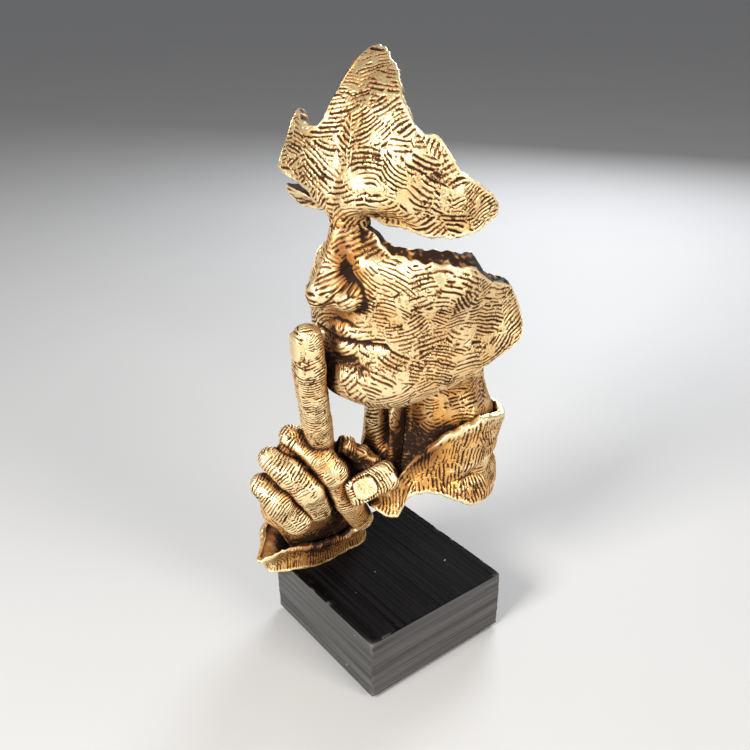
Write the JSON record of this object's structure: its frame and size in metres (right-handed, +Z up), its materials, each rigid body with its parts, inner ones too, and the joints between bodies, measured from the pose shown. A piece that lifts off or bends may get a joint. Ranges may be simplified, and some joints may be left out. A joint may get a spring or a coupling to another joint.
{
  "type": "souvenir figurine",
  "caption": "Gilded hollow face fragment with a hand raised in a hushing gesture, shirt collar and cuff, on a black square plinth.",
  "frame": {"origin": "centre of the underside of the base felt", "axes": "+Z up; the figure faces -Y, its left side is +X; the plinth's sides lie along X and Y"},
  "size_m": [0.1048, 0.1162, 0.2762],
  "materials": {
    "antique_gold": "cast resin, antique gold paint over dark wax",
    "plinth_black": "satin black with carved grain",
    "felt": "matte",
    "steel": "bright zinc"
  },
  "bodies": {
    "root": {"plinth": "plinth_black", "base_felt": "felt", "base_screws": "steel", "screw_washers": "steel", "cuff": "antique_gold", "palm": "antique_gold", "index_finger": "antique_gold", "middle_finger": "antique_gold", "ring_finger": "antique_gold", "little_finger": "antique_gold", "thumb": "antique_gold", "collar": "antique_gold", "throat": "antique_gold", "neck": "antique_gold", "cheek_shell": "antique_gold", "brow_shard": "antique_gold", "dowel_pins": "steel"}
  },
  "joints": []
}
